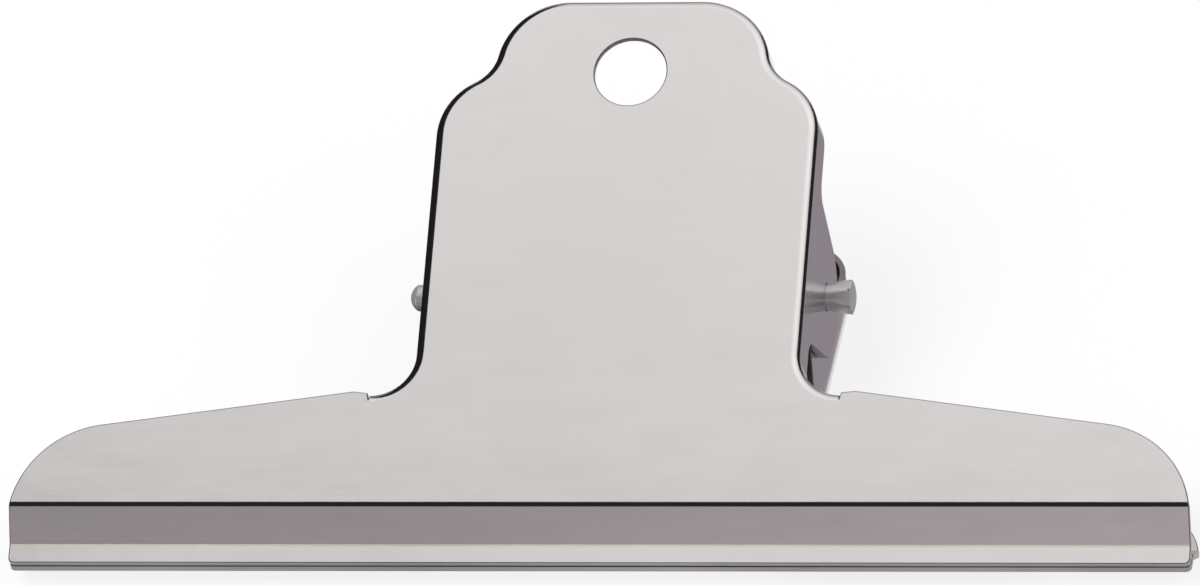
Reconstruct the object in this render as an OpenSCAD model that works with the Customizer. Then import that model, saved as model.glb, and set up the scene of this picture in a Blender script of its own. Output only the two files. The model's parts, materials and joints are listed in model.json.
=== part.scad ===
// Bulldog clip, the wide letter clip of sheet steel, lying on its rear plate.
// X runs along the jaws, Y from the jaws to the handles, Z up.
// Each plate is drawn in its own frame: X across, Y up the face from the foot of the rod,
// Z outwards, with the outer face at zero. The clip then sets both plates about the rod.

/* [Sheet] */
// Thickness of the plated sheet steel
sheet_t = 0.7; // [0.5:0.05:1]
// Outer radius of the bend round the handle
bend_r = 1; // [0.9:0.05:1.4]
// Depth of the turned back flange, from the outer face
flange_depth = 5; // [4:0.1:6]

/* [Handle] */
// Height of the handle above the foot of the rod
handle_rise = 28.93; // [27:0.01:34]
// Width of the crown of the handle
crown_w = 29.22; // [26:0.01:32]
// Radius of the corners of the crown
crown_r = 7.5; // [6:0.1:9]
// Width of the neck, over its flanges
neck_w = 40.8; // [38:0.1:44]
// Radius of the shoulders
shoulder_r = 6.91; // [6:0.01:8]
// Height at which the shoulders start
shoulder_rise = 13.6; // [12:0.1:16]
// Radius of the hollow between crown and shoulder
saddle_r = 4.395; // [3:0.005:5]
// Radius of the hollow at the foot of the neck
foot_r = 4.6; // [3.5:0.1:6]
// Drop of the centre of that hollow below the foot of the rod
foot_drop = 11.7; // [10.5:0.1:13.5]
// Diameter of the hanging hole
hole_d = 7.7; // [4:0.1:9]
// Height of the hanging hole
hole_rise = 20.5; // [18:0.1:23]

/* [Jaw] */
// Width over the jaws
jaw_w = 125; // [100:1:150]
// Drop of the fold line below the foot of the rod
jaw_reach = 28.9; // [26:0.1:32]
// Height of the wing above the fold line at its inner end
wing_h = 12.8; // [12:0.1:14]
// Slope of the top edge of the wing
wing_slope = 8; // [7:0.1:10]
// Radius of the outer end of the wing
wing_r = 10.7; // [9:0.1:12]
// Share of the foot hollow over which its flange runs out
run_out_share = 0.6; // [0.3:0.05:0.9]
// Way from the foot hollow to the highest point of the wing
wing_peak = 1.6; // [1:0.1:3]
// Length of the band that is folded in
band_len = 4.4; // [4:0.1:6]
// Angle of the band to the face
band_angle = 33.5; // [20:0.5:40]
// Outer radius of the fold
fold_r = 1; // [0.9:0.05:1.5]
// Length of the gripping lip
lip_len = 2; // [1.6:0.1:3.5]
// Angle by which the lip turns back out
lip_angle = 34.5; // [20:0.5:40]
// Hollow radius between band and lip
lip_bend_r = 0.4; // [0.2:0.05:0.8]
// Radius of the corners of the lip
lip_corner_r = 0.6; // [0.3:0.1:1]
// Gap between the two lips
lip_gap = 0.1; // [0.05:0.05:0.5]

/* [Ears] */
// Distance of the rod axis from the outer face
rod_depth = 12.3; // [11:0.1:14]
// Width of the ear where it leaves the flange
ear_base_w = 16.9; // [15:0.1:18]
// Radius of the tip of the ear
ear_tip_r = 6.4; // [5:0.1:7]
// Hollow radius between ear and flange
ear_root_r = 2; // [1:0.1:3]
// Clearance between an outer ear and an inner ear
ear_clear = 0.15; // [0.1:0.05:0.3]

/* [Rod] */
// Diameter of the rod
rod_d = 2.8; // [2:0.1:3.2]
// Radial clearance of the rod in the ears
rod_fit = 0.05; // [0.03:0.01:0.1]
// Length of the round end that stands out of the ear
rod_end_out = 3.8; // [2:0.1:5]
// Dome height of the round end
rod_dome = 0.8; // [0.4:0.1:1]
// Length of the spread head that stands out of the other ear
head_out = 3.1; // [2:0.1:3.5]
// Diameter of the spread head at its end
head_d = 3.8; // [3.4:0.1:4.5]
// Width over the flats of the spread head
head_flat_w = 3.3; // [2.9:0.1:3.8]
// Dome height of the spread head
head_dome = 0.4; // [0.2:0.1:0.6]

/* [Spring] */
// Diameter of the spring wire
wire_d = 1.8; // [1.4:0.1:2]
// Mean diameter of the coil
coil_d = 9; // [8:0.1:10]
// Whole turns of the coil
coil_turns = 8; // [5:1:12]
// Gap between two turns
coil_gap = 0.6; // [0.5:0.05:1]
// Height on the handle at which the legs press
leg_rise = 14.8; // [13:0.2:16]
// Length of the foot at the end of a leg
leg_foot = 8; // [5:0.5:9]
// Bend radius between leg and foot
leg_bend_r = 2; // [1.5:0.1:3]
// Clearance between a leg and the plate that it presses
leg_seat = 0.15; // [0.1:0.05:0.3]

/* [Hidden] */
// Overrun of every cut, and depth by which the end of a line is tucked under an arc
over = 1;
tuck = 0.002;
$fn = 96;
// Flat strips in a bend of the jaw
bend_facets = 5;
// Rings in one curl of the spring, sides of its wire, and steps of a leg's bend
curl_rings = 8;
wire_sides = 6;
bend_steps = 3;

// The rear plate is drawn in at its handle, so that it nests inside the front one
nest = sheet_t + ear_clear;

// Centres of the arcs of the handle, on its right side
crown_c = [crown_w / 2 - crown_r, handle_rise - crown_r];
shoulder_c = [neck_w / 2 - shoulder_r, shoulder_rise];
saddle_c = meet(crown_c, crown_r + saddle_r, shoulder_c, shoulder_r + saddle_r);
foot_low = -foot_drop - foot_r;

// Wing: highest point, and centre of the round end that touches its top edge
peak = [neck_w / 2 + foot_r + wing_peak, wing_h - jaw_reach];
wing_c_x = jaw_w / 2 - wing_r;
wing_c = [wing_c_x, peak.y - tan(wing_slope) * (wing_c_x - peak.x) - wing_r / cos(wing_slope)];
wing_touch = wing_c + (wing_r - tuck) * [sin(wing_slope), cos(wing_slope)];

// Jaw in Y and Z: centres of the fold and of the lip's bend, and both edges of the lip's end
lip_a = band_angle - lip_angle;
fold_c = [-jaw_reach + fold_r * tan(band_angle / 2), -fold_r];
band_run = band_len - fold_r * tan(band_angle / 2) - lip_bend_r * tan(lip_angle / 2);
lip_c = fold_c + (fold_r + lip_bend_r) * normal(band_angle) + band_run * heading(band_angle);
lip_out = lip_c - lip_bend_r * normal(lip_a)
    + (lip_len - lip_bend_r * tan(lip_angle / 2)) * heading(lip_a);
lip_in = lip_out - sheet_t * normal(lip_a);

// Angle between the plates when the inner edges of the lips meet, and the rod's place
lip_arm = norm([lip_in.x, lip_in.y + rod_depth]);
half_angle = acos(lip_gap / 2 / lip_arm) - atan2(-lip_in.x, lip_in.y + rod_depth);
plate_angle = 2 * half_angle;
front_lip_y = lip_out.x * cos(plate_angle) - (lip_out.y + rod_depth) * sin(plate_angle);
low_y = min(front_lip_y, lip_out.x, lip_in.x);
high_y = handle_rise - nest;
rod_y = -(low_y + high_y) / 2;
rod_z = rod_depth;

// Spring: distance of a leg's foot from the axis, and the angles at which the legs leave
foot_n = rod_depth - sheet_t - leg_seat - wire_d / 2;
leave_a = atan2(foot_n, leg_rise) + acos(coil_d / 2 / norm([leg_rise, foot_n]));
front_leave_a = plate_angle + leave_a;
rear_leave_a = 360 - leave_a;
coil_sweep = 360 * coil_turns + rear_leave_a - front_leave_a;
coil_pitch = wire_d + coil_gap;
coil_l = coil_pitch * coil_sweep / 360;
coil_steps = ceil(coil_sweep / 360 * curl_rings);
front_foot = turn_x([0, leg_rise, foot_n], plate_angle);
rear_foot = [0, leg_rise, -foot_n];
spring_path = concat(
    leg_points(front_foot, front_leave_a, 1),
    [for (i = [0 : coil_steps]) coil_point(i / coil_steps)],
    reversed(leg_points(rear_foot, rear_leave_a, -1)));
echo(spring_least_gap = least_gap(spring_path), plate_angle = plate_angle, rod_y = rod_y, rod_z = rod_z);

// Point at the given distances from two centres, to the right of the way from a to b
function meet(a, ra, b, rb) =
    let (d = norm(b - a), along = (ra * ra - rb * rb + d * d) / (2 * d), u = (b - a) / d)
    a + along * u + sqrt(ra * ra - along * along) * [-u.y, u.x];

// Outward normal of a surface that is turned in by an angle, its heading down the jaw,
// and points on a bend between two such angles
function normal(a) = [-sin(a), cos(a)];
function heading(a) = [-cos(a), -sin(a)];
function bend(c, r, from, to) =
    [for (i = [0 : bend_facets]) c + r * normal(from + (to - from) * i / bend_facets)];

function turn_x(p, a) = [p.x, p.y * cos(a) - p.z * sin(a), p.y * sin(a) + p.z * cos(a)];
function unit(v) = v / norm(v);
function reversed(list) = [for (i = [len(list) - 1 : -1 : 0]) list[i]];

// Place on the coil, from its front end at 0 to its rear end at 1
function coil_point(t) =
    let (a = front_leave_a + t * coil_sweep)
    [coil_l * (1 / 2 - t), coil_d / 2 * cos(a), coil_d / 2 * sin(a)];

// A foot along X, its bend and the straight leg, up to the coil at the given angle
function leg_points(foot, a, side) =
    let (x = side * coil_l / 2,
         corner = [x, foot.y, foot.z],
         start = [x, coil_d / 2 * cos(a), coil_d / 2 * sin(a)],
         up = unit(corner - start),
         along = [-side, 0, 0],
         c = corner + leg_bend_r * (along - up))
    concat([corner + leg_foot * along],
        [for (i = [0 : bend_steps]) let (b = 90 * i / bend_steps)
            c - leg_bend_r * (sin(b) * along - cos(b) * up)],
        [(start + corner) / 2]);

// Least distance between two stretches of the wire that lie at least half a turn apart
function least_gap(path) =
    let (far = curl_rings / 2)
    min([for (i = [0 : len(path) - 1 - far]) for (j = [i + far : len(path) - 1])
        norm(path[i] - path[j])]) - wire_d;

// Sweep of a round wire along a path: the ring's first axis is carried from point to point
function tangent(path, i) =
    unit(path[min(i + 1, len(path) - 1)] - path[max(i - 1, 0)]);
function carried(v, t) = unit(v - (v * t) * t);
function side_axes(path, i, v) =
    i == len(path) ? []
    : let (n = carried(v, tangent(path, i))) concat([n], side_axes(path, i + 1, n));

module wire(path, d) {
    axes = side_axes(path, 0, [0, 0, 1]);
    points = [for (i = [0 : len(path) - 1]) for (k = [0 : wire_sides - 1])
        let (t = tangent(path, i), n = axes[i], m = cross(t, n), a = 360 * k / wire_sides)
        path[i] + d / 2 * (cos(a) * n + sin(a) * m)];
    last = (len(path) - 1) * wire_sides;
    sides = [for (i = [0 : len(path) - 2]) for (k = [0 : wire_sides - 1])
        let (a = i * wire_sides + k, b = i * wire_sides + (k + 1) % wire_sides)
        each [[a, b + wire_sides, b], [a, a + wire_sides, b + wire_sides]]];
    starts = [for (k = [1 : wire_sides - 2]) [0, k, k + 1]];
    ends = [for (k = [1 : wire_sides - 2]) [last, last + k + 1, last + k]];
    polyhedron(points, concat(sides, starts, ends));
}

// Both sides of what is drawn on the right
module both_sides() {
    children();
    mirror([1, 0, 0]) children();
}

// A side view in Y and Z, made as wide as given along X
module across(w) {
    rotate([90, 0, 90]) linear_extrude(w, center = true) children();
}

// Half of the handle's face without its bend, drawn in by a further amount
module handle_half(inset) {
    r = crown_r - inset;
    square_to([0, 0], crown_c + [0, r]);
    square_to([0, -foot_drop], [neck_w / 2 - inset, shoulder_c.y]);
    translate(crown_c) circle(r);
    translate(shoulder_c) circle(shoulder_r - inset);
    difference() {
        polygon([[0, 0], [0, crown_c.y], crown_c, saddle_c, shoulder_c, [shoulder_c.x, 0]]);
        translate(saddle_c) circle(saddle_r + inset);
    }
}

module square_to(low, high) {
    translate(low) square(high - low);
}

// Face between the neck and the jaw, hollowed by the bend at the foot
module foot_half(draw_in) {
    c = [neck_w / 2 - draw_in + foot_r, -foot_drop];
    difference() {
        square_to([0, foot_low - bend_r], [c.x, -foot_drop]);
        translate(c) circle(foot_r + bend_r);
    }
}

// Face of the jaw on the right, with its lip, seen square to the face
module jaw_half(draw_in) {
    c = [neck_w / 2 - draw_in + foot_r, -foot_drop];
    low = min(lip_out.x, lip_in.x);
    half_w = jaw_w / 2;
    corner = [half_w - lip_corner_r, low + lip_corner_r];
    difference() {
        union() {
            polygon([[0, low], [corner.x, low], corner, [half_w, corner.y], [half_w, wing_c.y],
                wing_c, wing_touch, peak, [c.x, foot_low], [0, foot_low]]);
            intersection() {
                translate(wing_c) circle(wing_r);
                square_to(wing_c, wing_c + [wing_r, wing_r]);
            }
            translate(corner) circle(lip_corner_r);
        }
        intersection() {
            translate(c) circle(foot_r + bend_r);
            square_to(c - [foot_r + bend_r, foot_r + bend_r], c);
        }
    }
}

// Section of the sheet from the face down to the lip, in Y and Z
module jaw_section() {
    top = foot_low + over;
    outer = concat([[top, 0]], bend(fold_c, fold_r, 0, band_angle),
        bend(lip_c, -lip_bend_r, band_angle, lip_a), [lip_out]);
    inner = concat([[top, -sheet_t]], bend(fold_c, fold_r - sheet_t, 0, band_angle),
        bend(lip_c, -lip_bend_r - sheet_t, band_angle, lip_a), [lip_in]);
    polygon(concat(outer, reversed(inner)));
}

// Section of the bend and flange: the outer surface of the flange is at x = 0
module flange_section() {
    translate([-bend_r, -bend_r]) intersection() {
        difference() {
            circle(bend_r);
            circle(bend_r - sheet_t);
        }
        square(bend_r);
    }
    square_to([-sheet_t, -flange_depth], [0, -bend_r]);
}

// Flange along a straight edge that ends at a point, seen from there to the left of its way
module straight_flange(from, to) {
    way = to - from;
    translate(from) rotate(atan2(way.y, way.x) + 90) rotate([90, 0, 0])
        linear_extrude(norm(way)) flange_section();
}

// Flange round a bulging arc, and round a hollow one, within the given sector
module round_flange(c, r, sector) {
    intersection() {
        translate(c) rotate_extrude() translate([r, 0]) flange_section();
        flange_deep() polygon(sector);
    }
}

module hollow_flange(c, r, sector) {
    intersection() {
        translate(c) rotate_extrude() translate([r, 0]) mirror([1, 0]) flange_section();
        flange_deep() polygon(sector);
    }
}

module flange_deep() {
    translate([0, 0, -flange_depth - over]) linear_extrude(flange_depth + 2 * over) children();
}

// Turned back edge of the handle, on the right side; each two arcs share a sector line
module flange_half(draw_in) {
    x = neck_w / 2 - draw_in;
    top = handle_rise - draw_in;
    foot_c = [x + foot_r, -foot_drop];
    up = [0, handle_rise];
    out = [handle_rise, 0];
    straight_flange([0, top], [crown_c.x, top]);
    round_flange(crown_c, crown_r - draw_in, [crown_c, saddle_c, saddle_c + up, crown_c + up]);
    hollow_flange(saddle_c, saddle_r + draw_in, [crown_c, saddle_c, shoulder_c]);
    round_flange(shoulder_c, shoulder_r - draw_in,
        [shoulder_c, saddle_c, saddle_c + out, shoulder_c + out]);
    straight_flange([x, shoulder_c.y], [x, -foot_drop]);
    difference() {
        hollow_flange(foot_c, foot_r, [foot_c, foot_c - out, foot_c - out - up, foot_c - up]);
        run_out(foot_c.x);
    }
}

// Slanted cut that lets the flange run out towards the wing
module run_out(foot_x) {
    start = foot_x - foot_r * run_out_share;
    low = -flange_depth - over;
    translate([0, -foot_drop, 0]) rotate([90, 0, 0]) linear_extrude(foot_r + bend_r + over)
        polygon([[start, low], [start, -flange_depth], [foot_x, -bend_r],
            [foot_x + over, -bend_r], [foot_x + over, low]]);
}

// Ear in Y and Z: a tongue whose sides touch the round tip, with a hollow at each root
module ear_shape() {
    tip = [0, -rod_depth];
    root = [ear_base_w / 2, -flange_depth];
    reach = norm(root - tip);
    touch_a = atan2(root.y - tip.y, root.x) - acos(ear_tip_r / reach);
    touch = tip + (ear_tip_r - tuck) * [cos(touch_a), sin(touch_a)];
    down = unit(touch - root);
    open_a = atan2(-down.y, down.x);
    cut = ear_root_r / tan(open_a / 2);
    hollow = root + [cut, -ear_root_r];
    translate(tip) circle(ear_tip_r);
    polygon([root, touch, tip, [-touch.x, touch.y], [-root.x, root.y]]);
    both_sides() difference() {
        polygon([root, root + [cut, 0], hollow, root + cut * down]);
        translate(hollow) circle(ear_root_r + tuck);
    }
}

module ear(draw_in) {
    translate([neck_w / 2 - draw_in - sheet_t / 2, 0, 0]) across(sheet_t) ear_shape();
}

module rod_hole() {
    translate([0, 0, -rod_depth]) rotate([0, 90, 0])
        cylinder(d = rod_d + 2 * rod_fit, h = neck_w + 2 * over, center = true);
}

// One plate in its own frame; the handle is drawn in by the given amount
module plate(draw_in) {
    difference() {
        union() {
            translate([0, 0, -sheet_t]) linear_extrude(sheet_t) both_sides() {
                handle_half(draw_in + bend_r);
                foot_half(draw_in);
            }
            intersection() {
                across(jaw_w + 2 * over) jaw_section();
                translate([0, 0, -rod_depth]) linear_extrude(rod_depth + over)
                    both_sides() jaw_half(draw_in);
            }
            both_sides() {
                flange_half(draw_in);
                ear(draw_in);
            }
        }
        rod_hole();
        translate([0, hole_rise, -sheet_t - over]) cylinder(d = hole_d, h = sheet_t + 2 * over);
    }
}

// Front plate, which faces up and leans over the rear one
module front_plate() {
    color("gainsboro") translate([0, rod_y, rod_z]) rotate([plate_angle, 0, 0])
        translate([0, 0, rod_depth]) plate(0);
}

// Rear plate, which lies face down; its ears stand between those of the front plate
module rear_plate() {
    color("silver") translate([0, rod_y, rod_z]) mirror([0, 0, 1])
        translate([0, 0, rod_depth]) plate(nest);
}

// Rod through all four ears, with a round end on the left and a spread head on the right
module hinge_rod() {
    left = -neck_w / 2 - rod_end_out;
    right = neck_w / 2 + head_out;
    shaft_l = neck_w / 2 - left - rod_dome;
    color("darkgray") translate([0, rod_y, rod_z]) {
        translate([left + rod_dome, 0, 0]) rotate([0, 90, 0]) cylinder(d = rod_d, h = shaft_l);
        translate([left + rod_dome, 0, 0]) rotate([0, -90, 0]) dome(rod_d, rod_dome);
        translate([neck_w / 2, 0, 0]) rotate([0, 90, 0]) intersection() {
            union() {
                cylinder(d1 = rod_d, d2 = head_d, h = head_out - head_dome);
                translate([0, 0, head_out - head_dome]) dome(head_d, head_dome);
            }
            rotate(plate_angle) cylinder(d = head_flat_w / cos(30), h = right, $fn = 6);
        }
    }
}

// Low cap cut from a sphere
module dome(d, h) {
    r = (d * d / 4 + h * h) / (2 * h);
    intersection() {
        translate([0, 0, h - r]) sphere(r);
        cylinder(d = d, h = h);
    }
}

// Torsion spring round the rod; its two legs press the handles apart
module torsion_spring() {
    color("dimgray") translate([0, rod_y, rod_z]) wire(spring_path, wire_d);
}

front_plate();
rear_plate();
hinge_rod();
torsion_spring();
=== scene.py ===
"""Bulldog clip of nickel plated sheet steel, lying on its rear plate.

The two plates, the hinge rod and the spring are built here in millimetres and placed in the
frame of the CAD model. X runs along the jaws, Y from the jaws to the handles, Z up.
"""
import json
from math import acos, asin, atan2, ceil, cos, degrees, hypot, pi, radians, sin, sqrt, tan

import bpy
from mathutils import Matrix, Vector, geometry


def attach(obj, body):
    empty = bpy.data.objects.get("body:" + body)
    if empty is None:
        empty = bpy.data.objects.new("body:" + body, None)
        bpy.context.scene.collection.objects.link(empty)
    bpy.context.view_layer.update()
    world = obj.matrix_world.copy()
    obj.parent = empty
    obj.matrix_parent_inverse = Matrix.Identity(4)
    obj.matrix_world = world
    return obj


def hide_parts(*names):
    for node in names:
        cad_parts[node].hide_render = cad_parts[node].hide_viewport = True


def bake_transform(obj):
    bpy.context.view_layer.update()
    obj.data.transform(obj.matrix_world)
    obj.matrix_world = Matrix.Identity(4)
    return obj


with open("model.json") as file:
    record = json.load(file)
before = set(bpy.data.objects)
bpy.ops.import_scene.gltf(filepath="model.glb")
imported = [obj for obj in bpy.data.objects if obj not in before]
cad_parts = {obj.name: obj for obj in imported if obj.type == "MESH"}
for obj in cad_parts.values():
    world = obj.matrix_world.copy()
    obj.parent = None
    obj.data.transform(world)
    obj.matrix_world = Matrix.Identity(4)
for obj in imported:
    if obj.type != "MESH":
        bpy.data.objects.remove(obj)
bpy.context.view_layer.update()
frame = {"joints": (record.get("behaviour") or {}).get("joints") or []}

MM = 0.001
IMAGE_W = 1200

# Sheet
SHEET_T, BEND_R, FLANGE_DEPTH = 0.7, 1.0, 5.0
EAR_CLEAR = 0.15
NEST = SHEET_T + EAR_CLEAR
# Handle
HANDLE_RISE, CROWN_W, CROWN_R = 28.93, 29.22, 7.5
NECK_W, SHOULDER_R, SHOULDER_RISE = 40.8, 6.91, 13.6
SADDLE_R, FOOT_R, FOOT_DROP = 4.395, 4.6, 11.7
HOLE_R, HOLE_RISE = 3.85, 20.5
# Jaw
JAW_W, JAW_REACH, WING_H, WING_SLOPE, WING_R = 125.0, 28.9, 12.8, radians(8), 10.7
RUN_OUT_SHARE, WING_PEAK, SLIT_W = 0.6, 1.6, 0.12
BAND_LEN, BAND_A, FOLD_R = 4.4, radians(33.5), 1.0
LIP_LEN, LIP_TURN, LIP_BEND_R, LIP_CORNER_R, LIP_GAP = 2.0, radians(34.5), 0.4, 0.6, 0.1
# Ears
ROD_DEPTH, EAR_BASE_W, EAR_TIP_R, EAR_ROOT_R = 12.3, 16.9, 6.4, 2.0
# Rod
ROD_R, ROD_FIT, ROD_END_OUT, ROD_DOME = 1.4, 0.05, 3.8, 0.8
HEAD_OUT, HEAD_R, HEAD_FLAT, HEAD_DOME = 3.1, 1.9, 1.65, 0.4
# Spring
WIRE_R, COIL_R, COIL_TURNS, COIL_GAP = 0.9, 4.5, 8, 0.6
LEG_RISE, LEG_FOOT, LEG_BEND_R, LEG_SEAT = 14.8, 8.0, 2.0, 0.15


def meet(a, reach_a, b, reach_b):
    """The place at the given distances from a and b, on the left of the way from a to b."""
    dx, dy = b[0] - a[0], b[1] - a[1]
    way = hypot(dx, dy)
    along = (reach_a ** 2 - reach_b ** 2 + way ** 2) / (2 * way)
    off = sqrt(reach_a ** 2 - along ** 2)
    return (a[0] + (along * dx - off * dy) / way, a[1] + (along * dy + off * dx) / way)


# Centres of the handle's arcs on the right side, and the wing with the centre of its round end
CROWN_C = (CROWN_W / 2 - CROWN_R, HANDLE_RISE - CROWN_R)
SHOULDER_C = (NECK_W / 2 - SHOULDER_R, SHOULDER_RISE)
SADDLE_C = meet(CROWN_C, CROWN_R + SADDLE_R, SHOULDER_C, SHOULDER_R + SADDLE_R)
FOOT_LOW = -FOOT_DROP - FOOT_R
WING_FLAT_W = JAW_W / 2 - WING_R
PEAK = (NECK_W / 2 + FOOT_R + WING_PEAK, WING_H - JAW_REACH)
WING_C = (WING_FLAT_W,
          PEAK[1] - tan(WING_SLOPE) * (WING_FLAT_W - PEAK[0]) - WING_R / cos(WING_SLOPE))


def normal(a):
    """The outward direction, in Y and Z, of a part of the jaw that is turned down by an angle."""
    return Vector((-sin(a), cos(a)))


def heading(a):
    """The direction toward the lip, in Y and Z, along such a part of the jaw."""
    return Vector((-cos(a), -sin(a)))


# Jaw in Y and Z, and the angle between the plates at which the two lips meet
LIP_A = BAND_A - LIP_TURN
FOLD_C = Vector((-JAW_REACH + FOLD_R * tan(BAND_A / 2), -FOLD_R))
LIP_C = (FOLD_C + (FOLD_R + LIP_BEND_R) * normal(BAND_A)
         + (BAND_LEN - FOLD_R * tan(BAND_A / 2) - LIP_BEND_R * tan(LIP_TURN / 2))
         * heading(BAND_A))
LIP_OUT = (LIP_C - LIP_BEND_R * normal(LIP_A)
           + (LIP_LEN - LIP_BEND_R * tan(LIP_TURN / 2)) * heading(LIP_A))
LIP_IN = LIP_OUT - SHEET_T * normal(LIP_A)
PLATE_A = 2 * (acos(LIP_GAP / 2 / hypot(LIP_IN.x, LIP_IN.y + ROD_DEPTH))
               - atan2(-LIP_IN.x, LIP_IN.y + ROD_DEPTH))
ROD = Vector(frame["joints"][0]["pos_m"]) / MM

# Radius of the cut edges and the angles of their first half
EDGE_R = 0.12
RIM_ANGLES = (30, 60, 90)
# Length of the sum of two border directions below which a corner turns back on itself,
# and how far a sharp corner is stretched at most
TURNED_BACK, STRETCH_MAX = 0.5, 1.5
# Places are told apart in these parts of a millimetre, and in the filling of flat areas in mm
WELD_PARTS, FILL_CLOSE = 2000, 1e-6
# Numbers of segments
BEND_STEPS = 8
CROWN_STEPS, SADDLE_STEPS, SHOULDER_STEPS, FOOT_STEPS, WING_STEPS = 22, 12, 16, 22, 24
EAR_ROOT_STEPS, EAR_TIP_STEPS, ROD_HOLE_STEPS, HOLE_STEPS, CORNER_STEPS = 10, 18, 32, 64, 6
# Materials of the sheet by number; the crease one carries painted light in the hollow bend
FACE, CUT, CREASE = 0, 1, 2


class Sheet:
    """The outer surface of a bent sheet with its normals, to be made into a closed solid."""

    def __init__(self):
        self.index, self.points, self.normals, self.faces, self.kinds = {}, [], [], [], []

    def vertex(self, p, n):
        """The number of the point at a place; the first normal given for a place is kept."""
        key = tuple(round(c * WELD_PARTS) for c in p)
        if key not in self.index:
            self.index[key] = len(self.points)
            self.points.append(Vector(p))
            self.normals.append(Vector(n).normalized())
        return self.index[key]

    def face(self, ids, kind=FACE):
        """One face, turned to the side of its normals; a point twice in a row counts once."""
        ids = [i for k, i in enumerate(ids) if i != ids[k - 1]]
        if len(ids) < 3:
            return
        first = self.points[ids[0]]
        middle = sum((self.normals[i] for i in ids), Vector())
        area = Vector()
        for i, j in zip(ids[1:], ids[2:]):
            area += (self.points[i] - first).cross(self.points[j] - first)
        self.faces.append(ids if area.dot(middle) > 0 else ids[::-1])
        self.kinds.append(kind)

    def strip(self, rows, kind=FACE):
        """Faces between rows of points that are given with their normals."""
        ids = [[self.vertex(p, n) for p, n in row] for row in rows]
        for r, s in zip(ids, ids[1:]):
            for k in range(len(r) - 1):
                self.face([r[k], r[k + 1], s[k + 1], s[k]], kind)

    def plane(self, loops, lift, n):
        """Fills flat loops with triangles; lift turns two coordinates into a point."""
        flat, edges = [], []
        for loop in loops:
            first = len(flat)
            flat += [Vector(p) for p in loop]
            edges += [(first + k, first + (k + 1) % len(loop)) for k in range(len(loop))]
        outer = list(range(len(loops[0])))
        spots, _, fills, *_ = geometry.delaunay_2d_cdt(flat, edges, [outer], 2, FILL_CLOSE)
        ids = [self.vertex(lift(*p), n) for p in spots]
        for f in fills:
            self.face([ids[i] for i in f])

    def border(self):
        """For each point of the border the next one, and the direction away from the sheet."""
        after, before, away = {}, {}, {}
        sides = {(f[k - 1], f[k]) for f in self.faces for k in range(len(f))}
        for a, b in sides:
            if (b, a) not in sides:
                after[a], before[b] = b, a
        for i, j in after.items():
            n = self.normals[i]
            d_in = (self.points[i] - self.points[before[i]]).normalized()
            d_out = (self.points[j] - self.points[i]).normalized()
            both = d_in.cross(n).normalized() + d_out.cross(n).normalized()
            if both.length < TURNED_BACK:
                away[i] = (d_in - d_out).normalized()
            else:
                away[i] = both / both.length * min(2 / both.length, STRETCH_MAX)
        return after, away

    def solid(self, thick, edge_r):
        """Points, normals, faces and kinds of the solid sheet with rounded cut edges."""
        after, away = self.border()
        count = len(self.points)
        points, normals = list(self.points), list(self.normals)
        for i, b in away.items():
            points[i] = self.points[i] - edge_r * b
        points += [p - thick * n for p, n in zip(points, self.normals)]
        normals += [-n for n in self.normals]
        faces = [list(f) for f in self.faces]
        faces += [[i + count for i in reversed(f)] for f in self.faces]
        kinds = self.kinds * 2
        rim = [(a, edge_r * (1 - cos(radians(a)))) for a in RIM_ANGLES]
        rim += [(180 - a, thick - depth) for a, depth in reversed(rim)]
        rings = {}
        for i, b in away.items():
            n, ring = self.normals[i], [i]
            for a, depth in rim:
                c, s = cos(radians(a)), sin(radians(a))
                ring.append(len(points))
                points.append(self.points[i] - edge_r * (1 - s) * b - depth * n)
                normals.append((c * n + s * b).normalized())
            rings[i] = ring + [i + count]
        for i, j in after.items():
            for k in range(len(rings[i]) - 1):
                faces.append([rings[j][k], rings[i][k], rings[i][k + 1], rings[j][k + 1]])
                kinds.append(CUT)
        return points, normals, faces, kinds


def arc(c, r, start, end, steps):
    """Points on an arc and the directions away from its centre, from and to angles in degrees."""
    turns = [radians(start + (end - start) * k / steps) for k in range(steps + 1)]
    return [((c[0] + r * cos(a), c[1] + r * sin(a)), (cos(a), sin(a))) for a in turns]


def hollow_arc(c, r, start, end, steps):
    """The same on a hollow, where the directions point to its centre."""
    return [(p, (-out[0], -out[1])) for p, out in arc(c, r, start, end, steps)]


def places(edge):
    """The points of an arc without their directions."""
    return [p for p, _ in edge]


def section(at, out, depth):
    """The bend and flange at one station: at is the flange's place, out its outward direction."""
    row = []
    for k in range(BEND_STEPS + 1):
        a = pi / 2 * k / BEND_STEPS
        s = BEND_R * (1 - sin(a))
        row.append(((at[0] - s * out[0], at[1] - s * out[1], -BEND_R * (1 - cos(a))),
                    (sin(a) * out[0], sin(a) * out[1], cos(a))))
    low = ((at[0], at[1], -depth), (out[0], out[1], 0))
    return row + [low if depth > BEND_R else row[-1]]


def ear_outline():
    """The lower edge of neck flange and ear in Y and Z, from the foot to the shoulder."""
    tip, root = Vector((0, -ROD_DEPTH)), Vector((EAR_BASE_W / 2, -FLANGE_DEPTH))
    reach = (root - tip).length
    touch_a = atan2(root.y - tip.y, root.x) - acos(EAR_TIP_R / reach)
    touch = tip + EAR_TIP_R * Vector((cos(touch_a), sin(touch_a)))
    down = (touch - root).normalized()
    open_a = atan2(-down.y, down.x)
    cut = EAR_ROOT_R / tan(open_a / 2)
    c = root + Vector((cut, -EAR_ROOT_R))
    right = places(arc(c, EAR_ROOT_R, 90, 270 - degrees(open_a), EAR_ROOT_STEPS))
    right += places(arc(tip, EAR_TIP_R, degrees(touch_a), -90, EAR_TIP_STEPS))
    left = [(-y, z) for y, z in right[-2::-1]]
    whole = (right + left)[::-1]
    return [(-FOOT_DROP, -FLANGE_DEPTH)] + whole + [(SHOULDER_RISE, -FLANGE_DEPTH)]


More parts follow.
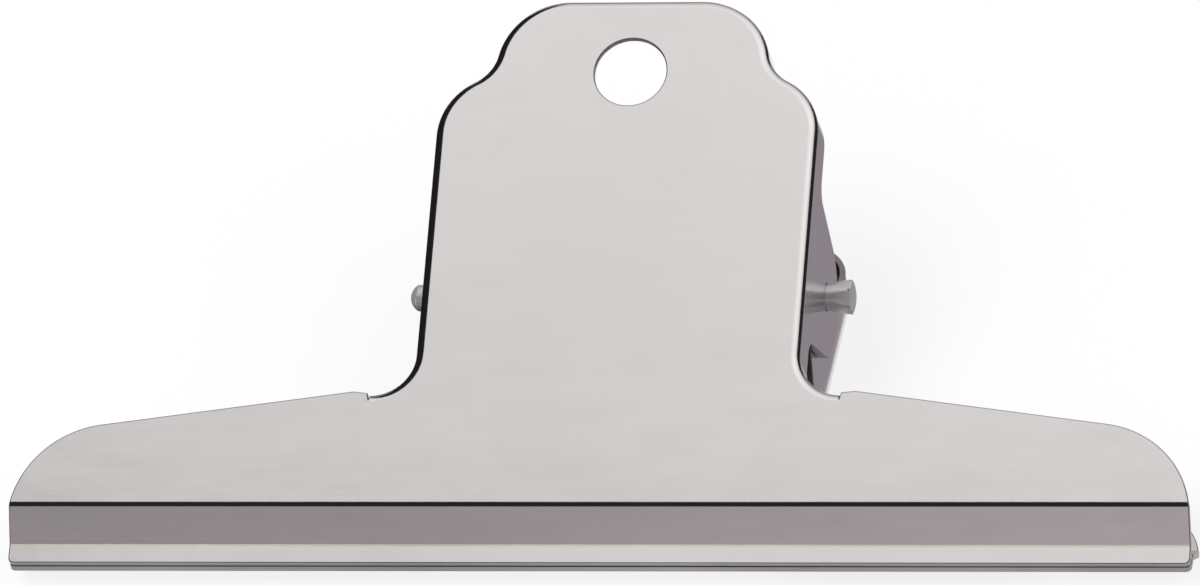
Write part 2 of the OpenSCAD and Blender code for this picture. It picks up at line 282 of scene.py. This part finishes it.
def handle_edge(draw_in):
    """The right edge of the handle from the middle of its top to the neck, with directions."""
    to_saddle = degrees(atan2(SADDLE_C[1] - CROWN_C[1], SADDLE_C[0] - CROWN_C[0]))
    to_shoulder = degrees(atan2(SADDLE_C[1] - SHOULDER_C[1], SADDLE_C[0] - SHOULDER_C[0]))
    crown = arc(CROWN_C, CROWN_R - draw_in, 90, to_saddle, CROWN_STEPS)
    saddle = hollow_arc(SADDLE_C, SADDLE_R + draw_in,
                        180 + to_saddle, 180 + to_shoulder, SADDLE_STEPS)
    shoulder = arc(SHOULDER_C, SHOULDER_R - draw_in, to_shoulder, 0, SHOULDER_STEPS)
    return [((0, HANDLE_RISE - draw_in), (0, 1))] + crown + saddle[1:] + shoulder[1:]


def foot_depth(px, foot_x):
    """Depth of the flange along the foot, from its whole depth down to the bend."""
    start = foot_x - FOOT_R * RUN_OUT_SHARE
    share = (px - start) / (foot_x - start)
    return FLANGE_DEPTH if share <= 0 else FLANGE_DEPTH + share * (BEND_R - FLANGE_DEPTH)


def mirrored(row, side):
    """A row of points and normals, as it is on the right side, 1, or on the left side, -1."""
    return [((side * p[0], *p[1:]), (side * n[0], *n[1:])) for p, n in row]


def half_width(py):
    """Half the width of the jaw, which is less in the round end of the wing."""
    rise = py - WING_C[1]
    return WING_C[0] + sqrt(WING_R ** 2 - rise ** 2) if rise > 0 else JAW_W / 2


def jaw_rows():
    """Fold, band, bend and lip: place and normal in Y and Z, half width and material."""
    rows = []
    for k in range(BEND_STEPS + 1):
        a = BAND_A * k / BEND_STEPS
        p = FOLD_C + FOLD_R * normal(a)
        rows.append((p, normal(a), half_width(p.x), FACE))
    for k in range(BEND_STEPS + 1):
        a = BAND_A - LIP_TURN * k / BEND_STEPS
        p = LIP_C - LIP_BEND_R * normal(a)
        rows.append((p, normal(a), half_width(p.x), CREASE if k else FACE))
    for k in range(CORNER_STEPS + 1):
        a = pi / 2 * k / CORNER_STEPS
        p = LIP_OUT - LIP_CORNER_R * (1 - sin(a)) * heading(LIP_A)
        rows.append((p, normal(LIP_A), JAW_W / 2 - LIP_CORNER_R * (1 - cos(a)), FACE))
    return rows


def across(p, n, half_w):
    """A row over the whole width of the jaw."""
    return [((side * half_w, *p), (0, *n)) for side in (-1, 1)]


def face_border(edge, foot_x):
    """Border of the face: fold, wings, slits, and the inner line of the bend round the handle."""
    start_a = degrees(asin((FOLD_C.x - WING_C[1]) / WING_R))
    wing = places(arc(WING_C, WING_R, start_a, 90 - degrees(WING_SLOPE), WING_STEPS))
    slit = (foot_x + SLIT_W, FOOT_LOW + (PEAK[1] - FOOT_LOW) * SLIT_W / (PEAK[0] - foot_x))
    inner = [section(p, out, FLANGE_DEPTH)[0][0][:2] for p, out in edge]
    right = wing + [PEAK, slit] + inner[::-1]
    left = [(-px, py) for px, py in reversed(right)][1:]
    return right + left


def plate(draw_in):
    """The outer surface of one plate in its own frame: X across, Y up the face, Z outwards."""
    sheet = Sheet()
    neck_x = NECK_W / 2 - draw_in
    foot_x = neck_x + FOOT_R
    handle = handle_edge(draw_in)
    foot = hollow_arc((foot_x, -FOOT_DROP), FOOT_R, 180, 270, FOOT_STEPS)
    flank = [(SHOULDER_RISE, -BEND_R), (-FOOT_DROP, -BEND_R)] + ear_outline()
    bore = places(arc((0, -ROD_DEPTH), ROD_R + ROD_FIT, 0, 360, ROD_HOLE_STEPS))[:-1]
    for side in (1, -1):
        upper = [mirrored(section(p, out, FLANGE_DEPTH), side) for p, out in handle]
        lower = [mirrored(section(p, out, foot_depth(p[0], foot_x)), side) for p, out in foot]
        sheet.strip(upper)
        sheet.strip([upper[-1][:-1], lower[0][:-1]])
        sheet.strip(lower)
        sheet.plane([flank, bore], lambda py, pz: (side * neck_x, py, pz), (side, 0, 0))
    rows = jaw_rows()
    for near, far in zip(rows, rows[1:]):
        sheet.strip([across(*near[:3]), across(*far[:3])], far[3])
    hole = places(arc((0, HOLE_RISE), HOLE_R, 0, 360, HOLE_STEPS))[:-1]
    sheet.plane([face_border(handle + foot, foot_x), hole],
                lambda px, py: (px, py, 0), (0, 0, 1))
    return sheet


def new_mesh(name, points, faces, materials, kinds=None, normals=None):
    """A mesh object from points in millimetres, smooth, with its own normals if given."""
    mesh = bpy.data.meshes.new(name)
    mesh.from_pydata([Vector(p) * MM for p in points], [], faces)
    for m in materials:
        mesh.materials.append(m)
    mesh.polygons.foreach_set("use_smooth", [True] * len(mesh.polygons))
    if kinds:
        mesh.polygons.foreach_set("material_index", kinds)
    mesh.validate()
    if normals:
        mesh.normals_split_custom_set_from_vertices([tuple(n) for n in normals])
    mesh.update()
    piece = bpy.data.objects.new(name, mesh)
    bpy.context.scene.collection.objects.link(piece)
    return piece


# Materials

# Noises of the metals: scale per metre and detail, and the stretch of the two soft ones
FINE_SCALE, FINE_DETAIL = 9000.0, 2.0
BROAD_SCALE, BROAD_DETAIL, BROAD_STRETCH = 60.0, 4.0, (0.5, 1, 1)
CLOUD_SCALE, CLOUD_DETAIL, CLOUD_STRETCH = 350.0, 3.0, (0.35, 1, 1)
NOISE_ROUGH = 0.6
# Ranges of noise that are spread over the two colours and over the roughness
COLOUR_FROM, COLOUR_TO, ROUGH_FROM, ROUGH_TO = 0.3, 0.7, 0.6, 1.4
WAVE_DEPTH = 4e-5


def tree_of(name):
    """A material with an empty shader that is joined to its output."""
    material = bpy.data.materials.new(name)
    material.use_nodes = True
    tree = material.node_tree
    tree.nodes.clear()
    output = tree.nodes.new("ShaderNodeOutputMaterial")
    shader = tree.nodes.new("ShaderNodeBsdfPrincipled")
    tree.links.new(shader.outputs[0], output.inputs[0])
    return material, tree, shader


def add(tree, kind, values=(), **settings):
    """A node with its settings, and with a value or a link for each input."""
    node = tree.nodes.new(kind)
    for key, value in settings.items():
        setattr(node, key, value)
    for key, value in dict(values).items():
        socket = node.inputs[key]
        if isinstance(value, bpy.types.NodeSocket):
            tree.links.new(value, socket)
        else:
            socket.default_value = value
    return node


def noise(tree, place, stretch, scale, detail):
    """Noise in the piece's own coordinates, stretched along its axes; scale is per metre."""
    mapping = add(tree, "ShaderNodeMapping", {"Vector": place, "Scale": stretch})
    grain = add(tree, "ShaderNodeTexNoise", {"Vector": mapping.outputs[0], "Scale": scale,
                                             "Detail": detail, "Roughness": NOISE_ROUGH})
    return grain.outputs["Fac"]


def spread(tree, value, low, high, out_low, out_high):
    """The value, moved from one range into another."""
    return add(tree, "ShaderNodeMapRange", {"Value": value, "From Min": low, "From Max": high,
                                            "To Min": out_low, "To Max": out_high}).outputs[0]


def blend_colour(tree, share, a, b):
    """A colour between two, by the colour sockets of the mix node."""
    mix = add(tree, "ShaderNodeMix", {0: share, 6: (*a, 1), 7: (*b, 1)}, data_type="RGBA")
    return mix.outputs[2]


def metal(name, dark, light, rough, grain_stretch, grain_depth, metallic=1.0):
    """Metal with a fine grain along one axis, soft waves and small changes of roughness."""
    material, tree, shader = tree_of(name)
    place = add(tree, "ShaderNodeTexCoord").outputs["Object"]
    fine = noise(tree, place, grain_stretch, FINE_SCALE, FINE_DETAIL)
    broad = noise(tree, place, BROAD_STRETCH, BROAD_SCALE, BROAD_DETAIL)
    cloud = noise(tree, place, CLOUD_STRETCH, CLOUD_SCALE, CLOUD_DETAIL)
    share = spread(tree, broad, COLOUR_FROM, COLOUR_TO, 0, 1)
    tree.links.new(blend_colour(tree, share, dark, light), shader.inputs["Base Color"])
    mixed = add(tree, "ShaderNodeMath", {0: fine, 1: cloud}, operation="ADD").outputs[0]
    roughness = spread(tree, mixed, ROUGH_FROM, ROUGH_TO, *rough)
    tree.links.new(roughness, shader.inputs["Roughness"])
    bump = add(tree, "ShaderNodeBump", {"Height": fine, "Strength": 1.0, "Distance": grain_depth})
    wave = add(tree, "ShaderNodeBump", {"Height": broad, "Strength": 1.0,
                                        "Distance": WAVE_DEPTH, "Normal": bump.outputs[0]})
    tree.links.new(wave.outputs[0], shader.inputs["Normal"])
    shader.inputs["Metallic"].default_value = metallic
    return material


nickel = metal("nickel_plate", dark=(0.735, 0.70, 0.695), light=(0.76, 0.725, 0.72),
               rough=(0.11, 0.17), grain_stretch=(0.02, 1, 1), grain_depth=4e-7)
cut_edge = metal("cut_edge", dark=(0.24, 0.23, 0.23), light=(0.34, 0.33, 0.325),
                 rough=(0.28, 0.42), grain_stretch=(1, 1, 1), grain_depth=4e-6)
# The crease between band and lip has a tan colour with little metal, which the lamps light:
# painted light that stands in for light bounced into the hollow bend, in place of its dark
# reflection
crease = metal("crease_painted_light", dark=(0.52, 0.45, 0.38), light=(0.62, 0.55, 0.48),
               rough=(0.5, 0.65), grain_stretch=(0.05, 1, 1), grain_depth=3e-6, metallic=0.25)
rod_steel = metal("rod_steel", dark=(0.62, 0.61, 0.62), light=(0.74, 0.73, 0.74),
                  rough=(0.30, 0.40), grain_stretch=(0.05, 1, 1), grain_depth=2e-6, metallic=0.58)
wire_steel = metal("spring_wire", dark=(0.30, 0.30, 0.31), light=(0.40, 0.40, 0.41),
                   rough=(0.28, 0.40), grain_stretch=(0.3, 1, 1), grain_depth=3e-6)

# Plates

for name, body, slot, draw_in in (("front_sheet", "front_half", "plate_front", 0.0),
                                  ("rear_sheet", "rear_half", "plate_rear", NEST)):
    sheet = plate(draw_in)
    points, normals, faces, kinds = sheet.solid(SHEET_T, EDGE_R)
    if draw_in:
        place = Matrix.Diagonal((1, 1, -1, 1))
        faces = [f[::-1] for f in faces]
    else:
        place = Matrix.Rotation(PLATE_A, 4, "X")
    place = Matrix.Translation(ROD) @ place @ Matrix.Translation((0, 0, ROD_DEPTH))
    points = [place @ p for p in points]
    normals = [place.to_3x3() @ n for n in normals]
    piece = new_mesh(name, points, faces, [nickel, cut_edge, crease], kinds, normals)
    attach(piece, body)
    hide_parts("rear_plate" if draw_in else "front_plate")

# Hinge rod

ROD_SIDES, DOME_STEPS, HEAD_STEPS = 48, 12, 8
# Distances from the dome and from the head to the nearest plain ring
DOME_MARGIN, HEAD_MARGIN = 0.15, 0.3
# Sharpness of the edges between the facets of the head
FACET_POWER = 28
# Rings on the end face of the head: share of its radius, and depth below the dome
HEAD_END = ((1.0, 0.06), (0.985, 0.02), (0.955, 0.0), (0.9, 0.0), (0.75, 0.0), (0.55, 0.0),
            (0.35, 0.0), (0.15, 0.0))


def faceted(cone):
    """Radius of the head at each angle around it: a round section with six weak facets."""
    section_r = []
    for k in range(ROD_SIDES):
        off = (degrees(2 * pi * k / ROD_SIDES) - degrees(PLATE_A) + 90) % 60 - 30
        flat = HEAD_FLAT / cos(radians(off))
        section_r.append((cone ** -FACET_POWER + flat ** -FACET_POWER) ** (-1 / FACET_POWER))
    return section_r


def rod_rings(left, right):
    """Rings of the rod from its round end to its head, as x and radius at each angle."""
    ball = (ROD_R ** 2 + ROD_DOME ** 2) / (2 * ROD_DOME)
    opening = asin(ROD_R / ball)
    rings = []
    for k in range(1, DOME_STEPS + 1):
        a = opening * k / DOME_STEPS
        rings.append([(left + ball * (1 - cos(a)), ball * sin(a))] * ROD_SIDES)
    for px in (left + ROD_DOME + DOME_MARGIN, -NECK_W / 2, NECK_W / 2 - HEAD_MARGIN):
        rings.append([(px, ROD_R)] * ROD_SIDES)
    rise = HEAD_OUT - HEAD_DOME
    for k in range(HEAD_STEPS + 1):
        px = NECK_W / 2 + rise * k / HEAD_STEPS
        rings.append([(px, r) for r in faceted(ROD_R + (HEAD_R - ROD_R) * k / HEAD_STEPS)])
    cap = (HEAD_R ** 2 + HEAD_DOME ** 2) / (2 * HEAD_DOME)
    for share, sink in HEAD_END:
        radii = [r * share for r in faceted(HEAD_R)]
        rings.append([(right - cap + sqrt(cap ** 2 - r ** 2) - sink, r) for r in radii])
    return rings


def tube(count, sides):
    """Faces between neighbouring rings of points, without the two ends."""
    quads = []
    for i in range(count - 1):
        for k in range(sides):
            a, b = i * sides + k, i * sides + (k + 1) % sides
            quads.append([a, b, b + sides, a + sides])
    return quads


rod_left, rod_right = -NECK_W / 2 - ROD_END_OUT, NECK_W / 2 + HEAD_OUT
rings = rod_rings(rod_left, rod_right)
points = []
for ring in rings:
    for k, (px, r) in enumerate(ring):
        t = 2 * pi * k / ROD_SIDES
        points.append(ROD + Vector((px, r * cos(t), r * sin(t))))
faces = tube(len(rings), ROD_SIDES)
points += [ROD + Vector((rod_left, 0, 0)), ROD + Vector((rod_right, 0, 0))]
last = (len(rings) - 1) * ROD_SIDES
for k in range(ROD_SIDES):
    faces.append([len(points) - 2, (k + 1) % ROD_SIDES, k])
    faces.append([len(points) - 1, last + k, last + (k + 1) % ROD_SIDES])
rod = new_mesh("rod", points, faces, [rod_steel])
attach(rod, "rear_half")
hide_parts("hinge_rod")

# Spring

FOOT_N = ROD_DEPTH - SHEET_T - LEG_SEAT - WIRE_R
LEAVE_A = atan2(FOOT_N, LEG_RISE) + acos(COIL_R / hypot(LEG_RISE, FOOT_N))
FRONT_A, REAR_A = PLATE_A + LEAVE_A, 2 * pi - LEAVE_A
SWEEP = 2 * pi * COIL_TURNS + REAR_A - FRONT_A
COIL_L = (2 * WIRE_R + COIL_GAP) * SWEEP / (2 * pi)
WIRE_SIDES, CURL_STEPS, LEG_FOOT_STEPS, LEG_BEND_STEPS, LEG_STEPS = 20, 32, 4, 8, 6
# Rings at the cut ends of the wire: place along it, and share of its radius
WIRE_END = ((0.0, 0.5), (0.0, 0.86), (0.06, 0.96), (0.16, 1.0))


def leg(foot, a, side):
    """The foot along X, its bend and the straight leg up to the coil."""
    x = side * COIL_L / 2
    corner = Vector((x, foot[0], foot[1]))
    start = Vector((x, COIL_R * cos(a), COIL_R * sin(a)))
    up, along = (corner - start).normalized(), Vector((-side, 0, 0))
    c = corner + LEG_BEND_R * (along - up)
    line = []
    for k in range(LEG_FOOT_STEPS, 0, -1):
        far, near = LEG_FOOT * k, LEG_BEND_R * (LEG_FOOT_STEPS - k)
        line.append(corner + along * (far / LEG_FOOT_STEPS + near / LEG_FOOT_STEPS))
    for k in range(LEG_BEND_STEPS + 1):
        b = pi / 2 * k / LEG_BEND_STEPS
        line.append(c - LEG_BEND_R * (sin(b) * along - cos(b) * up))
    bent = corner - LEG_BEND_R * up
    line += [bent + (start - bent) * k / LEG_STEPS for k in range(1, LEG_STEPS)]
    return line


steps = ceil(SWEEP / (2 * pi) * CURL_STEPS)
coil = []
for k in range(steps + 1):
    a = FRONT_A + SWEEP * k / steps
    coil.append(Vector((COIL_L * (0.5 - k / steps), COIL_R * cos(a), COIL_R * sin(a))))
turn = Matrix.Rotation(PLATE_A, 3, "X")
front_foot = turn @ Vector((0, LEG_RISE, FOOT_N))
path = (leg((front_foot.y, front_foot.z), FRONT_A, 1) + coil
        + leg((LEG_RISE, -FOOT_N), REAR_A, -1)[::-1])

points = []
side = Vector((0, 0, 1))
for i, p in enumerate(path):
    t = (path[min(i + 1, len(path) - 1)] - path[max(i - 1, 0)]).normalized()
    side = (side - side.dot(t) * t).normalized()
    other = t.cross(side)
    if i == 0:
        rims = WIRE_END
    elif i == len(path) - 1:
        rims = [(-shift, share) for shift, share in reversed(WIRE_END)]
    else:
        rims = [(0.0, 1.0)]
    for shift, share in rims:
        r = WIRE_R * share
        for k in range(WIRE_SIDES):
            a = 2 * pi * k / WIRE_SIDES
            points.append(ROD + p + shift * t + r * (cos(a) * side + sin(a) * other))
count = len(points) // WIRE_SIDES
faces = tube(count, WIRE_SIDES)
faces.append(list(range(WIRE_SIDES))[::-1])
faces.append([(count - 1) * WIRE_SIDES + k for k in range(WIRE_SIDES)])
spring = new_mesh("spring_wire", points, faces, [wire_steel])
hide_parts("torsion_spring")
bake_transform(spring)

# Camera

CAM_AT = Vector((292.429, -1191.681, 890.005)) * MM
CAM_AIM = Vector((-1.512, -5.811, 19.768)) * MM
CAM_ROLL = radians(8.3343)
# Focal length in pixels of the picture, and width of the sensor in millimetres
CAM_F, SENSOR_W = 14357.0, 36.0

back = (CAM_AT - CAM_AIM).normalized()
level = Vector((0, 0, 1)).cross(back).normalized()
above = back.cross(level)
x_axis = cos(CAM_ROLL) * level - sin(CAM_ROLL) * above
y_axis = sin(CAM_ROLL) * level + cos(CAM_ROLL) * above
camera = bpy.data.objects.new("camera", bpy.data.cameras.new("camera"))
bpy.context.scene.collection.objects.link(camera)
view = Matrix((x_axis, y_axis, back)).transposed().to_4x4()
camera.matrix_world = Matrix.Translation(CAM_AT) @ view
camera.data.sensor_width = SENSOR_W
camera.data.lens = SENSOR_W * CAM_F / IMAGE_W
camera.data.clip_start = 0.05
camera.data.clip_end = 20.0
bpy.context.scene.camera = camera

# Floor, world and light


def card(name, corner, along, across, shades, tint=(1, 1, 1)):
    """A card in metres that only reflections see, with the strength of light at each corner."""
    c, u, v = Vector(corner), Vector(along), Vector(across)
    mesh = bpy.data.meshes.new(name)
    mesh.from_pydata([c, c + u, c + u + v, c + v], [], [(0, 1, 2, 3)])
    shade = mesh.attributes.new("shade", "FLOAT", "POINT")
    shade.data.foreach_set("value", shades)
    material = bpy.data.materials.new(name)
    material.use_nodes = True
    tree = material.node_tree
    tree.nodes.clear()
    level = add(tree, "ShaderNodeAttribute", attribute_name="shade").outputs["Fac"]
    light = add(tree, "ShaderNodeEmission", {"Color": (*tint, 1), "Strength": level})
    output = add(tree, "ShaderNodeOutputMaterial")
    tree.links.new(light.outputs[0], output.inputs[0])
    mesh.materials.append(material)
    obj = bpy.data.objects.new(name, mesh)
    bpy.context.scene.collection.objects.link(obj)
    obj.visible_camera = obj.visible_diffuse = obj.visible_shadow = False
    obj.visible_transmission = obj.visible_volume_scatter = False


def seen_rays(tree):
    """One for rays from the camera, from a reflection or through a clear surface."""
    rays = add(tree, "ShaderNodeLightPath")
    seen = rays.outputs["Is Camera Ray"]
    for kind in ("Is Glossy Ray", "Is Transmission Ray"):
        either = add(tree, "ShaderNodeMath", {0: seen, 1: rays.outputs[kind]}, operation="MAXIMUM")
        seen = either.outputs[0]
    return seen


# Strength of the single cards, and tint of the ones low in front
DARK, RIM_DARK, SIDE_GREY, BACK_GREY = 0.02, 0.015, 0.29, 0.32
LOW_TINT = (1.01, 0.965, 1.0)
# Shared places of the cards: overhead, in front and behind, at the sides and on the floor
TOP_Z, TOP_Y, TOP_SPLIT_X, TOP_SPLIT_Y = 0.6, -0.135, 0.36, 0.065
FRONT_Y, FRONT_LOW_Z, BACK_Y = -0.66, 0.24, 1.165
SIDE_X, SIDE_Y, SIDE_LEN, FLAT_Z = 0.55, -0.7, 1.7, 0.0004
# Overhead light, the grey behind the clip, and the dark and grey cards in front of it
card("card_top_near", (-0.24, TOP_Y, TOP_Z), (0.6, 0, 0), (0, 0.2, 0),
     (0.77, 1.05, 1.25, 0.98))
card("card_top_right", (TOP_SPLIT_X, TOP_Y, TOP_Z), (1.0, 0, 0), (0, 0.2, 0),
     (1.05, 0.6, 0.7, 1.25))
card("card_top_far", (-0.24, TOP_SPLIT_Y, TOP_Z), (0.6, 0, 0), (0, 1.1, 0),
     (0.98, 1.25, 0.5, 0.55))
card("card_top_corner", (TOP_SPLIT_X, TOP_SPLIT_Y, TOP_Z), (1.0, 0, 0), (0, 1.1, 0),
     (1.25, 0.7, 0.5, 0.5))
card("card_back", (-1.0, BACK_Y, 0), (2.4, 0, 0), (0, 0, TOP_Z), [BACK_GREY] * 4)
card("card_front_top", (-1.0, -0.62, 0.40), (2.6, 0, 0), (0, 0.485, 0.2), [DARK] * 4)
card("card_front_mid", (-1.0, FRONT_Y, FRONT_LOW_Z), (2.6, 0, 0), (0, 0.04, 0.16), [DARK] * 4)
card("card_low_left", (-1.4, FRONT_Y, 0), (1.2, 0, 0), (0, 0, FRONT_LOW_Z),
     (0.62, 0.62, 0.30, 0.30), LOW_TINT)
card("card_low_mid", (-0.2, FRONT_Y, 0), (0.124, 0, 0), (0, 0, FRONT_LOW_Z),
     (0.62, 0.82, 0.41, 0.30), LOW_TINT)
card("card_low_right", (-0.076, FRONT_Y, 0), (1.476, 0, 0), (0, 0, FRONT_LOW_Z),
     (0.82, 0.82, 0.41, 0.41), LOW_TINT)
# Dark cards at both sides and on the floor beside the handle, and a grey one at its right
card("card_left_top", (-0.6, SIDE_Y, 0.42), (0, SIDE_LEN, 0), (0.36, 0, 0.18), [RIM_DARK] * 4)
card("card_left", (-SIDE_X, SIDE_Y, 0), (0, SIDE_LEN, 0), (-0.05, 0, 0.42), [RIM_DARK] * 4)
card("card_left_low", (-SIDE_X, -0.012, FLAT_Z), (0.5295, 0, 0), (0, 0.6, 0), [RIM_DARK] * 4)
card("card_right", (SIDE_X, SIDE_Y, 0), (0, SIDE_LEN, 0), (0.05, 0, 0.24), [DARK] * 4)
card("card_right_low", (0.045, -0.012, FLAT_Z), (0.5, 0, 0), (0, 0.6, 0), [DARK] * 4)
card("card_right_near", (0.02, -0.03, FLAT_Z), (0.025, 0, 0), (0, 0.318, 0), [SIDE_GREY] * 4,
     tint=(1.03, 0.94, 1.04))

# The floor lies a hair below the part; its glow makes it white where it is seen
FLOOR_HALF, FLOOR_Z, FLOOR_GLOW = 3, -2e-5, 0.78
floor_mesh = bpy.data.meshes.new("floor")
corners = [(-1, -1), (1, -1), (1, 1), (-1, 1)]
floor_mesh.from_pydata([(FLOOR_HALF * px, FLOOR_HALF * py, FLOOR_Z) for px, py in corners],
                       [], [(0, 1, 2, 3)])
floor_paint, tree, shader = tree_of("floor_paint")
shader.inputs["Base Color"].default_value = (0.9, 0.9, 0.9, 1)
shader.inputs["Roughness"].default_value = 0.9
shader.inputs["Specular IOR Level"].default_value = 0.0
white = add(tree, "ShaderNodeEmission", {"Color": (1, 1, 1, 1), "Strength": 1.0})
share = add(tree, "ShaderNodeMath", {0: seen_rays(tree), 1: FLOOR_GLOW}, operation="MULTIPLY")
mix = add(tree, "ShaderNodeMixShader",
          {0: share.outputs[0], 1: shader.outputs[0], 2: white.outputs[0]})
tree.links.new(mix.outputs[0], tree.nodes["Material Output"].inputs[0])
floor_mesh.materials.append(floor_paint)
floor = bpy.data.objects.new("floor", floor_mesh)
bpy.context.scene.collection.objects.link(floor)

# Soft light on the clip from all around, and plain white where the surroundings are seen
WORLD_LIGHT = 0.55
world = bpy.data.worlds.new("studio")
bpy.context.scene.world = world
world.use_nodes = True
tree = world.node_tree
tree.nodes.clear()
soft = add(tree, "ShaderNodeBackground", {"Color": (1, 1, 1, 1), "Strength": WORLD_LIGHT})
white = add(tree, "ShaderNodeBackground", {"Color": (1, 1, 1, 1), "Strength": 1.0})
mix = add(tree, "ShaderNodeMixShader",
          {0: seen_rays(tree), 1: soft.outputs[0], 2: white.outputs[0]})
output = add(tree, "ShaderNodeOutputWorld")
tree.links.new(mix.outputs[0], output.inputs[0])


LAMP_AIM = Vector((0, 0, 0.02))


def toward(azimuth, elevation, distance):
    """A place seen from the clip; azimuth 0 is -Y and 90 is +X."""
    a, e = radians(azimuth), radians(elevation)
    return (distance * sin(a) * cos(e), -distance * cos(a) * cos(e), distance * sin(e))


def lamp(name, at, size, power):
    """A square lamp that looks at the clip and isn't seen in reflections."""
    light = bpy.data.lights.new(name, "AREA")
    light.shape, light.size, light.energy = "SQUARE", size, power
    obj = bpy.data.objects.new(name, light)
    bpy.context.scene.collection.objects.link(obj)
    look = (Vector(at) - LAMP_AIM).to_track_quat("Z", "Y")
    obj.matrix_world = Matrix.Translation(at) @ look.to_matrix().to_4x4()
    obj.visible_glossy = False


lamp("key", toward(azimuth=-35, elevation=62, distance=1.6), size=0.9, power=14.0)
lamp("fill", toward(azimuth=60, elevation=50, distance=1.8), size=1.2, power=7.0)

bpy.context.scene.view_settings.view_transform = "Standard"
